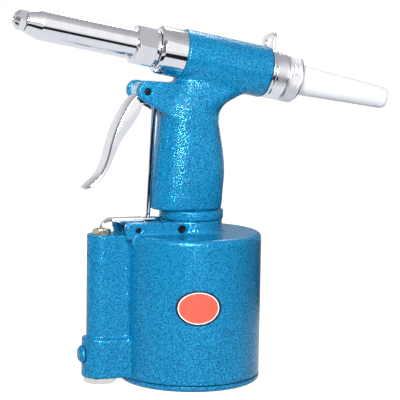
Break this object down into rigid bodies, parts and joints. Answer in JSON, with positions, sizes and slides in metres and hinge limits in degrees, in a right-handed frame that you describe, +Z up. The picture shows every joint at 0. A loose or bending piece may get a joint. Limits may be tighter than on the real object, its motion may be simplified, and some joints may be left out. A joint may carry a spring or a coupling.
{
  "type": "pneumatic rivet gun",
  "caption": "Hand-held air-hydraulic blind rivet gun: air cylinder base, pistol grip, finger trigger with pull rod and valve lever, inclined pulling head and mandrel collector.",
  "frame": {"origin": "centre of the flat base of the air cylinder", "axes": "+Z up along the cylinder, -X towards the nose, +X towards the mandrel collector, +Y to the far side in the picture"},
  "size_m": [0.2502, 0.09, 0.2322],
  "materials": {
    "paint": "glossy blue hammered paint on cast aluminium",
    "chrome": "bright chrome",
    "steel": "plain turned steel",
    "brass": "plain brass",
    "piston_aluminium": "turned aluminium",
    "seal_rubber": "black seal rubber",
    "collector_plastic": "milky translucent plastic"
  },
  "bodies": {
    "frame": {"cylinder_casting": "paint", "handle_casting": "paint", "bottom_cover": "paint", "bottom_cover_seal": "seal_rubber", "ram_gland": "brass", "ram_seal": "seal_rubber", "lock_ring": "paint", "lock_screw": "steel", "front_gland": "chrome", "front_gland_seal": "seal_rubber", "nose_housing": "chrome", "nosepiece": "chrome", "rear_cap": "chrome", "hanger_ring": "chrome", "oil_screw": "steel", "oil_screw_washer": "brass", "trigger_pin": "steel", "lever_pin": "steel", "valve_gland": "brass", "valve_seat": "brass", "valve_spring": "steel", "inlet_bushing": "chrome", "passage_plug": "paint", "return_spring": "steel"},
    "trigger": {"trigger": "chrome"},
    "pull_rod": {"pull_rod": "steel", "pull_rod_nut": "steel"},
    "valve_lever": {"valve_lever": "chrome"},
    "valve_stem": {"valve_pusher": "steel", "valve_poppet": "seal_rubber"},
    "ram": {"air_piston": "piston_aluminium", "air_piston_seal": "seal_rubber", "ram": "steel", "ram_nut": "steel"},
    "puller": {"pull_piston": "steel", "pull_piston_seal": "seal_rubber", "jaw_case": "steel", "jaw_spring": "steel"},
    "jaw_pusher": {"jaw_pusher": "steel"},
    "jaw_1": {"jaw_1": "steel"},
    "jaw_2": {"jaw_2": "steel"},
    "jaw_3": {"jaw_3": "steel"},
    "collector_tube": {"collector_tube": "collector_plastic"},
    "collector_ring": {"collector_ring": "chrome"}
  },
  "joints": [
    {"name": "trigger_squeeze", "type": "hinge", "parent": "frame", "child": "trigger", "pos_m": [-0.034, 0, 0.1828], "axis": [0, -1, 0], "range_deg": [0, 10], "stiffness_Nm_per_rad": 2, "springref_deg": -8.59},
    {"name": "pull_rod_lift", "type": "slide", "parent": "frame", "child": "pull_rod", "axis": [0.0458, 0, 0.999], "range_m": [0, 0.0016]},
    {"name": "lever_rock", "type": "hinge", "parent": "frame", "child": "valve_lever", "pos_m": [-0.0395, 0, 0.0974], "axis": [0, -1, 0], "range_deg": [0, 9.1]},
    {"name": "valve_press", "type": "slide", "parent": "frame", "child": "valve_stem", "axis": [0, 0, -1], "range_m": [0, 0.0031], "deforming": ["valve_spring"]},
    {"name": "ram_stroke", "type": "slide", "parent": "frame", "child": "ram", "axis": [0, 0, 1], "range_m": [0, 0.0533], "stiffness_N_per_m": 200, "springref_m": -0.05},
    {"name": "pull_stroke", "type": "slide", "parent": "frame", "child": "puller", "axis": [0.9816, 0, -0.1908], "range_m": [0, 0.0131], "deforming": ["return_spring"]},
    {"name": "jaw_feed", "type": "slide", "parent": "puller", "child": "jaw_pusher", "axis": [-0.9816, 0, 0.1908], "range_m": [0, 0.0021], "deforming": ["jaw_spring"]},
    {"name": "jaw_1_grip", "type": "slide", "parent": "puller", "child": "jaw_1", "axis": [-0.9944, 0, 0.1061], "range_m": [0, 0.0021]},
    {"name": "jaw_2_grip", "type": "slide", "parent": "puller", "child": "jaw_2", "axis": [-0.9699, -0.0741, 0.2321], "range_m": [0, 0.0021]},
    {"name": "jaw_3_grip", "type": "slide", "parent": "puller", "child": "jaw_3", "axis": [-0.9699, 0.0741, 0.2321], "range_m": [0, 0.0021]},
    {"name": "collector_unscrew", "type": "slide", "parent": "frame", "child": "collector_tube", "axis": [0.9816, 0, -0.1908], "range_m": [0, 0.0046]},
    {"name": "collector_ring_turn", "type": "hinge", "parent": "collector_tube", "child": "collector_ring", "pos_m": [0.06381, 0, 0.1913], "axis": [0.9816, 0, -0.1908], "range_deg": [0, 1080]}
  ],
  "couplings": [
    {"joint": "pull_rod_lift", "follows": "trigger_squeeze", "m_per_rad": 0.008938},
    {"joint": "lever_rock", "follows": "trigger_squeeze", "ratio": 0.9},
    {"joint": "valve_press", "follows": "trigger_squeeze", "m_per_rad": 0.01759},
    {"joint": "pull_stroke", "follows": "ram_stroke", "ratio": 0.2439},
    {"joint": "jaw_feed", "follows": "ram_stroke", "ratio": 0.037523},
    {"joint": "jaw_1_grip", "follows": "ram_stroke", "ratio": 0.037523},
    {"joint": "jaw_2_grip", "follows": "ram_stroke", "ratio": 0.037523},
    {"joint": "jaw_3_grip", "follows": "ram_stroke", "ratio": 0.037523},
    {"joint": "collector_unscrew", "follows": "collector_ring_turn", "m_per_rad": 0.00023873}
  ]
}
